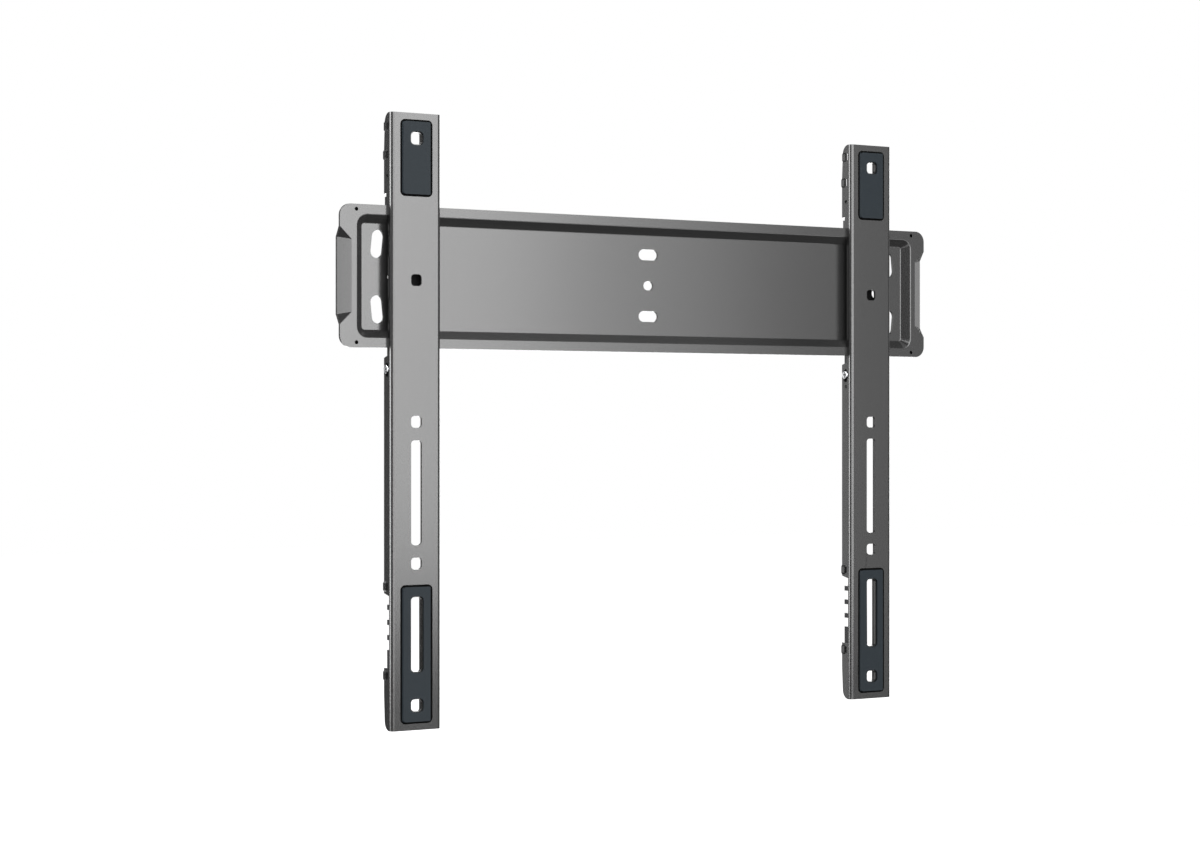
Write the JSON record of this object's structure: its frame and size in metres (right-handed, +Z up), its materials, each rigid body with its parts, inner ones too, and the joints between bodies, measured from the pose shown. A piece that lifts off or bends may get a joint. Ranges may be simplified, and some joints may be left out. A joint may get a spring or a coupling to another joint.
{
  "type": "fixed tv wall bracket",
  "caption": "Low-profile wall bracket: pressed wall plate with vertical channel arms hooked over it, padded fronts and sprung lock slides.",
  "frame": {"origin": "middle of the wall plate's back face, on the wall, between its two round bolt holes", "axes": "+Z up, +Y into the wall, +X to the viewer's right"},
  "size_m": [0.5136, 0.015, 0.4354],
  "materials": {
    "powder_coat": "anthracite powder coat, fine texture, satin",
    "pad": "dark slate soft-touch plastic, matt",
    "lock_plastic": "black moulded nylon",
    "zinc_steel": "bright zinc plate",
    "spring_steel": "spring wire",
    "black_steel": "blackened steel pin"
  },
  "bodies": {
    "bracket": {"wall_plate": "powder_coat", "left_arm": "powder_coat", "left_upper_pad": "pad", "left_lower_pad": "pad", "left_spring_pin": "black_steel", "left_lock_spring": "spring_steel", "right_arm": "powder_coat", "right_upper_pad": "pad", "right_lower_pad": "pad", "right_spring_pin": "black_steel", "right_lock_spring": "spring_steel"},
    "left_lock": {"left_lock_slide": "lock_plastic", "left_outer_screw": "zinc_steel", "left_inner_screw": "zinc_steel"},
    "right_lock": {"right_lock_slide": "lock_plastic", "right_outer_screw": "zinc_steel", "right_inner_screw": "zinc_steel"}
  },
  "joints": [
    {"name": "left_lock_slide_down", "type": "slide", "parent": "bracket", "child": "left_lock", "axis": [0, 0, -1], "range_m": [0, 0.004], "stiffness_N_per_m": 400, "springref_m": -0.008, "deforming": ["left_lock_spring"]},
    {"name": "right_lock_slide_down", "type": "slide", "parent": "bracket", "child": "right_lock", "axis": [0, 0, -1], "range_m": [0, 0.004], "stiffness_N_per_m": 400, "springref_m": -0.008, "deforming": ["right_lock_spring"]}
  ]
}
